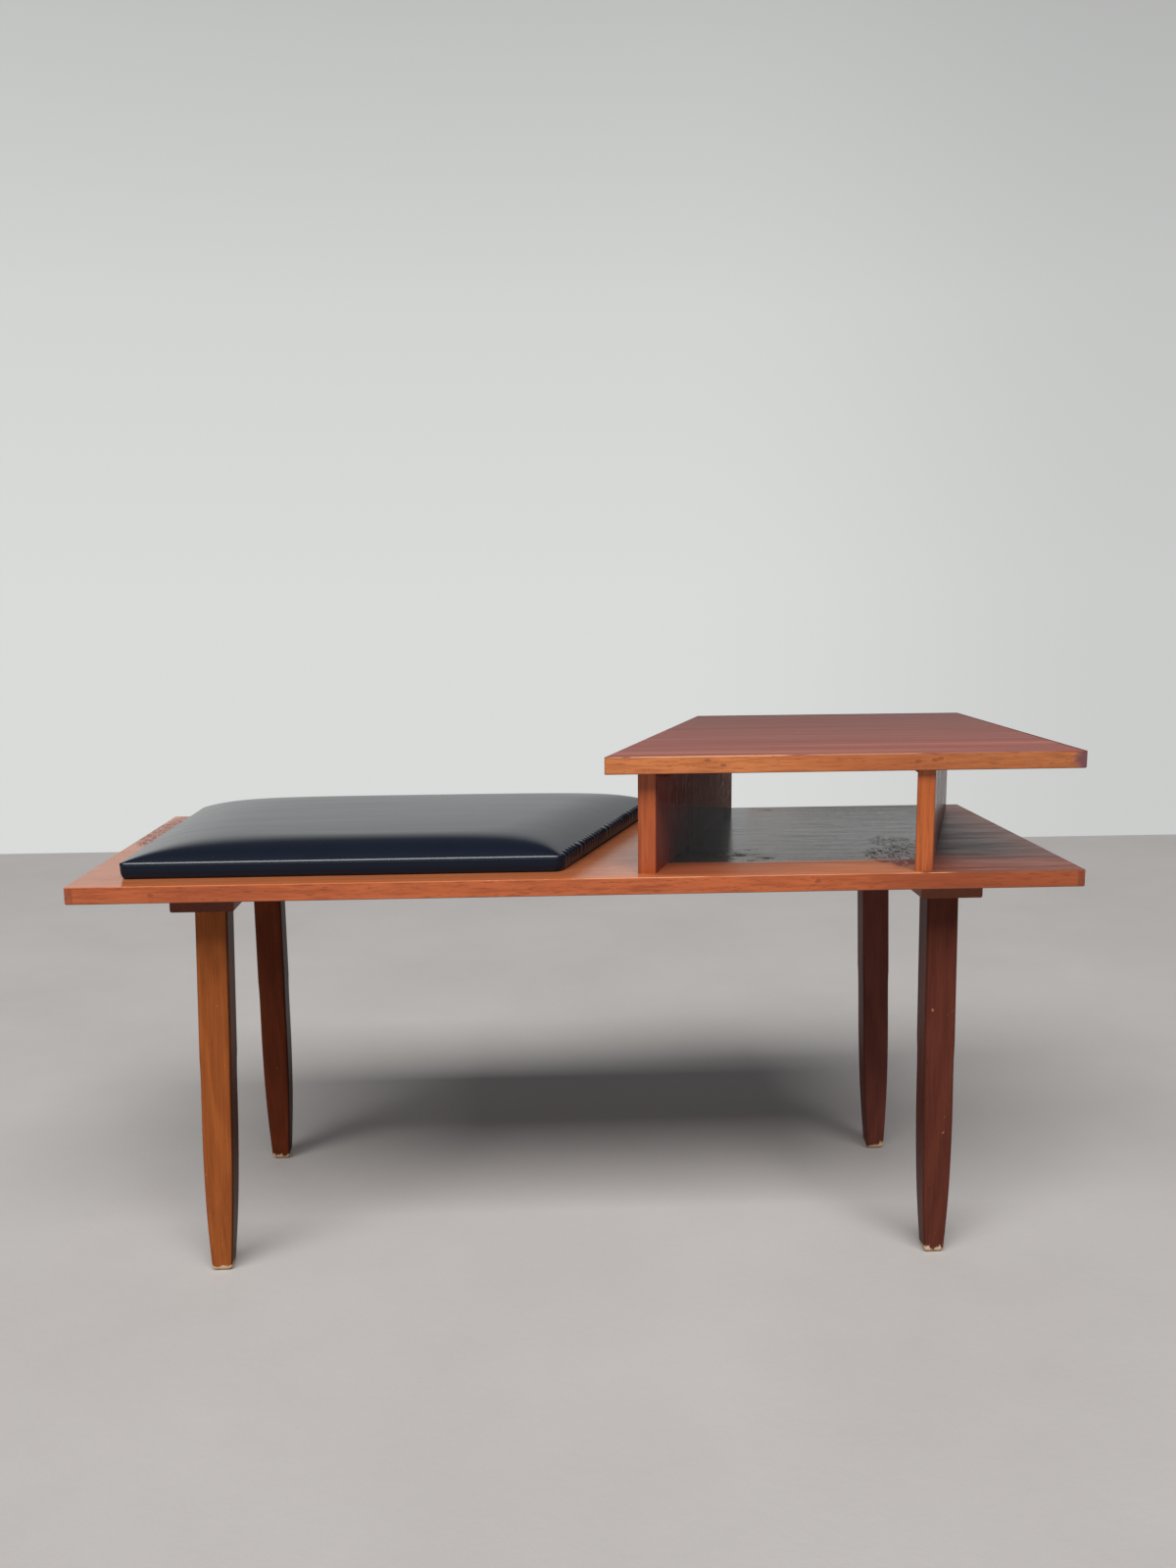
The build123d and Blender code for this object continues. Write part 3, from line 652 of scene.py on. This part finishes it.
def simulated(columns, rows):
    """How far the cover's crown moves under the foam's push, on a grid of columns by rows.

    A cloth on the crown's own shape, held along the arris, is pressed outward from inside with
    gravity off. The move of each point is capped at LIFT_CAP, and then becomes the mean of its
    four neighbours' LIFT_ROUNDS times over, because thick foam lets no small crease through.
    """
    u, v = np.meshgrid(np.linspace(0, 1, columns + 1), np.linspace(0, 1, rows + 1))
    x, y = plan(*eased(u, v, CORNER))
    rim = (u <= 0) | (u >= 1) | (v <= 0) | (v >= 1)
    z = seat_low.z + SEAT_BAND + np.where(rim, 0, crown(side_gaps(x, y)))
    start = np.stack([x, y, z], axis=-1).reshape(-1, 3)
    mesh = bpy.data.meshes.new("cover_trial")
    mesh.from_pydata(start.tolist(), [], cells(rows, columns).tolist())
    trial = bpy.data.objects.new("cover_trial", mesh)
    bpy.context.scene.collection.objects.link(trial)
    held = trial.vertex_groups.new(name="held")
    held.add(np.flatnonzero(rim.ravel()).tolist(), 1.0, "REPLACE")
    cloth = trial.modifiers.new("cloth", "CLOTH")
    for key, value in CLOTH_SETTINGS.items():
        setattr(cloth.settings, key, value)
    cloth.settings.vertex_group_mass = "held"
    cloth.settings.effector_weights.gravity = 0
    scene = bpy.context.scene
    for number in range(1, CLOTH_FRAMES + 1):
        scene.frame_set(number)
    blown = trial.evaluated_get(bpy.context.evaluated_depsgraph_get())
    end = np.zeros(len(start) * 3)
    blown.data.vertices.foreach_get("co", end)
    scene.frame_set(1)
    bpy.data.objects.remove(trial)
    move = end.reshape(-1, 3) - start
    length = np.maximum(np.linalg.norm(move, axis=1, keepdims=True), 1e-9)
    move = (move * np.minimum(LIFT_CAP / length, 1)).reshape(rows + 1, columns + 1, 3)
    for _ in range(LIFT_ROUNDS):
        sides = move[:-2, 1:-1] + move[2:, 1:-1] + move[1:-1, :-2] + move[1:-1, 2:]
        move[1:-1, 1:-1] = sides / 4
    return move


def between(grid, u, v):
    """Values of a coarse grid at shares u and v, worked out between its four nearest points."""
    rows, columns = grid.shape[0] - 1, grid.shape[1] - 1
    a = np.clip(u * columns, 0, columns - 1e-6)
    b = np.clip(v * rows, 0, rows - 1e-6)
    i, j = a.astype(int), b.astype(int)
    s, t = (a - i)[..., None], (b - j)[..., None]
    near = grid[j, i] * (1 - s) + grid[j, i + 1] * s
    far = grid[j + 1, i] * (1 - s) + grid[j + 1, i + 1] * s
    return near * (1 - t) + far * t


u, v = np.meshgrid(spread(ACROSS, CROWD_ACROSS), spread(DEEP, CROWD_DEEP))
x, y = plan(*eased(u, v, CORNER))
gap = joined(side_gaps(x, y))
z = SEAT_BAND + crown(side_gaps(x, y)) - ARRIS * np.clip(1 - gap / ARRIS, 0, 1) ** 2
top = np.stack([x, y, z], axis=-1)
move = simulated(CLOTH_ACROSS, CLOTH_DEEP)
top = top + between(move, u, v) * np.clip(gap / LIFT_HOLD, 0, 1)[..., None]

# The rim of that grid, walked round once, and from it the rings of the band and the hem.
loop = np.concatenate([
    np.stack([np.zeros(ACROSS, int), np.arange(ACROSS)], axis=1),
    np.stack([np.arange(DEEP), np.full(DEEP, ACROSS)], axis=1),
    np.stack([np.full(ACROSS, DEEP), np.arange(ACROSS, 0, -1)], axis=1),
    np.stack([np.arange(DEEP, 0, -1), np.zeros(DEEP, int)], axis=1),
])
rim = top[loop[:, 0], loop[:, 1]]
ahead, behind = np.roll(rim, -1, axis=0), np.roll(rim, 1, axis=0)
run = (ahead - behind)[:, :2]
outward = np.stack([run[:, 1], -run[:, 0]], axis=1)
outward /= np.linalg.norm(outward, axis=1, keepdims=True)
rings = []
for share, inset in BAND_SHAPE + tuple((0.0, inset) for inset in HEM):
    ring = rim.copy()
    ring[:, :2] -= outward * inset
    ring[:, 2] = SEAT_BAND * share - ARRIS * (share > UNDER_BAND)
    rings.append(ring)
points = np.concatenate([top.reshape(-1, 3), *rings])
pleat = gathers(points[:, 0], points[:, 1], points[:, 2])
points[:, 0] += pleat * cos(SLANT) * PLEAT_LEAN[0]
points[:, 2] += pleat * PLEAT_LEAN[1] * (points[:, 2] > SEAT_BAND * 0.5)
points[:, 2] += seat_low.z

# Faces: the crown's cells, a band of quads from each ring to the next, and one face below.
quads = cells(DEEP, ACROSS)
around = [loop[:, 0] * (ACROSS + 1) + loop[:, 1]]
for number in range(len(rings)):
    around.append((DEEP + 1) * (ACROSS + 1) + number * len(loop) + np.arange(len(loop)))
bands = []
for upper, lower in zip(around, around[1:]):
    bands.append(np.stack([lower, np.roll(lower, -1), np.roll(upper, -1), upper], axis=1))
faces = np.concatenate([quads, *bands]).tolist() + [around[-1][::-1].tolist()]
pad_mesh = bpy.data.meshes.new("seat_pad")
pad_mesh.from_pydata(points.tolist(), [], faces)
pad_mesh.shade_smooth()
on_side = (np.arange(len(faces)) >= len(quads)).astype(np.int32)
pad_mesh.polygons.foreach_set("material_index", on_side)
pad = bpy.data.objects.new("seat_pad", pad_mesh)
bpy.context.scene.collection.objects.link(pad)


def coated_fabric(tree):
    """Blue-black coated fabric: a fine pebbled grain, satin, with dust specks and rubbed patches."""
    point = place(tree)[0]
    pebble = put(tree, "TexVoronoi", {"Vector": point, "Scale": 1100.0}, feature="SMOOTH_F1").outputs[0]
    cloudy = cloud(tree, point, (14, 14, 14), 4.0, 0.55, 3.0)
    colour = blend(tree, cloudy, stain(14, 21, 34), stain(21, 28, 43))
    dust = rise(tree, cloud(tree, point, (420, 420, 420), 2.0, 0.5, 7.0), 0.74, 0.78)
    colour = blend(tree, reckon(tree, "MULTIPLY", dust, 0.3), colour, stain(120, 120, 122))
    rub = cloud(tree, point, (5, 60, 60), 4.0, 0.6, 5.0)
    return colour, mixed(tree, rub, 0.16, 0.26), pebble, 0.000012


def handled_fabric(tree):
    """The same fabric down the side, dulled by hands and legs."""
    colour, rough, pebble, depth = coated_fabric(tree)
    rough = mixed(tree, cloud(tree, place(tree)[0], (30, 30, 30), 3.0, 0.6, 9.0), 0.30, 0.44)
    return blend(tree, 0.8, colour, stain(14, 30, 46)), rough, pebble, depth


pad_mesh.materials.append(finish("seat_cover_finish", coated_fabric))
pad_mesh.materials.append(finish("seat_side_finish", handled_fabric, specular_ior_level=0.22))
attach(pad, "root")
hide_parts("seat_cover", "seat_foam")

# ---- Floor, light and camera ------------------------------------------------------------
# A pale floor with nothing else on it, a large soft light high in front, and the camera
# where the photograph was taken from.

FLOOR_CORNERS = [(-5, -4, 0), (5, -4, 0), (5, 2.1, 0), (-5, 2.1, 0)]


def flat_sheet(name, corners):
    """An object with one four-cornered face."""
    mesh = bpy.data.meshes.new(name)
    mesh.from_pydata(corners, [], [(0, 1, 2, 3)])
    made = bpy.data.objects.new(name, mesh)
    bpy.context.scene.collection.objects.link(made)
    return made


floor = flat_sheet("floor", FLOOR_CORNERS)


def pale_floor(tree):
    """Pale smoothed cement, slightly mottled."""
    point = place(tree)[0]
    mottle = cloud(tree, point, (3, 3, 3), 6.0, 0.6, 1.0)
    grit = cloud(tree, point, (90, 90, 90), 4.0, 0.6, 2.0)
    colour = blend(tree, mottle, stain(196, 193, 191), stain(178, 174, 172))
    return colour, mixed(tree, grit, 0.7, 0.85), grit, 0.0004


floor.data.materials.append(finish("pale_floor", pale_floor))

LIGHT_PLACE = (-2.5, -9.8, 14.0)   # middle of a far rooflight that faces straight down
LIGHT_SIZE = (20.5, 8.4)           # along X and Y
LIGHT_WATTS = 4600

light = bpy.data.lights.new("rooflight", "AREA")
light.shape = "RECTANGLE"
light.size, light.size_y = LIGHT_SIZE
light.energy = LIGHT_WATTS
light.color = (1.0, 0.99, 0.97)
lamp = bpy.data.objects.new("rooflight", light)
bpy.context.scene.collection.objects.link(lamp)
lamp.location = LIGHT_PLACE

# A dark card behind the bench, paler towards its left end and seen only by glossy surfaces,
# for the reflections in the bay.
CARD_CORNERS = [(0.27, 0.45, 0.24), (0.53, 0.45, 0.24), (0.53, 0.45, 0.465), (0.27, 0.45, 0.465)]
CARD_FADING = (0.40, 0.29)         # x from which the card turns pale, and where it is palest
card = flat_sheet("dark_card", CARD_CORNERS)
card.visible_camera = card.visible_diffuse = card.visible_shadow = card.visible_transmission = False


def black_cloth(tree):
    """Black cloth that takes nearly all light, turning warm grey towards its left end, which paints a paler
    reflection in the bay.
    """
    point, x, _, _ = place(tree)
    nap = cloud(tree, point, (60, 60, 60), 3.0, 0.6, 1.0)
    colour = blend(tree, nap, stain(22, 18, 18), stain(34, 28, 27))
    colour = blend(tree, rise(tree, x, *CARD_FADING), colour, stain(214, 178, 170))
    return colour, mixed(tree, nap, 0.9, 1.0), nap, 0.0001


card.data.materials.append(finish("black_cloth", black_cloth, specular_ior_level=0.0))

# The air round the bench: a pale backdrop that is brightest at the floor and dims towards the
# top. The camera sees it all round, a little dimmer at the right. Other rays meet dusk at the
# sides, in front and overhead.
BACKDROP_TONES = ((0.0, 0.71), (0.20, 0.66), (0.36, 0.55), (0.50, 0.43), (0.70, 0.12), (1.0, 0.07))
BACKDROP_TINT = (0.985, 1.0, 0.985)
DUSK = (0.085, 0.09, 0.10, 1)
world = bpy.data.worlds.new("studio")
world.use_nodes = True
bpy.context.scene.world = world
air = world.node_tree
background = air.nodes["Background"]
toward = put(air, "SeparateXYZ", {0: put(air, "TexCoord").outputs["Generated"]}).outputs
backdrop = put(air, "ValToRGB", {0: toward[2]})
ramp = backdrop.color_ramp.elements
for i, (height, tone) in enumerate(BACKDROP_TONES):
    stop = ramp[i] if i < 2 else ramp.new(height)
    stop.position = height
    stop.color = (*(tone * part for part in BACKDROP_TINT), 1)
aside = reckon(air, "DIVIDE", toward[0], reckon(air, "MAXIMUM", toward[1], 0.001))
behind = reckon(air, "MULTIPLY", rise(air, aside, 0.60, 0.52), rise(air, aside, -0.75, -0.6))
behind = reckon(air, "MULTIPLY", behind, rise(air, toward[1], 0.0, 0.05))
rightward = rise(air, aside, 0.1, 0.5)
dimmed = blend(air, 0.15, backdrop.outputs[0], stain(0, 0, 0))
fading = blend(air, rightward, backdrop.outputs[0], dimmed)
lit = blend(air, behind, DUSK, backdrop.outputs[0])
seen = put(air, "LightPath").outputs["Is Camera Ray"]
shown = blend(air, seen, lit, fading)
air.links.new(shown, background.inputs["Color"])

CAMERA_PLACE = (-0.0444, -1.4101, 0.7100)
CAMERA_PITCH, CAMERA_YAW, CAMERA_ROLL = -8.719, -2.365, 0.49     # degrees
FOCAL_PIXELS, PHOTO_HEIGHT, SENSOR = 1300, 1600, 36
lens = bpy.data.cameras.new("camera")
lens.sensor_width = SENSOR
lens.lens = SENSOR * FOCAL_PIXELS / PHOTO_HEIGHT
camera = bpy.data.objects.new("camera", lens)
bpy.context.scene.collection.objects.link(camera)
heading = (Matrix.Rotation(radians(CAMERA_YAW), 4, "Z") @ Matrix.Rotation(radians(CAMERA_PITCH), 4, "X")
           @ Matrix.Rotation(radians(CAMERA_ROLL), 4, "Y"))
camera.matrix_world = Matrix.Translation(CAMERA_PLACE) @ heading @ Matrix.Rotation(radians(90), 4, "X")
bpy.context.scene.camera = camera
bpy.context.scene.view_settings.view_transform = "Standard"
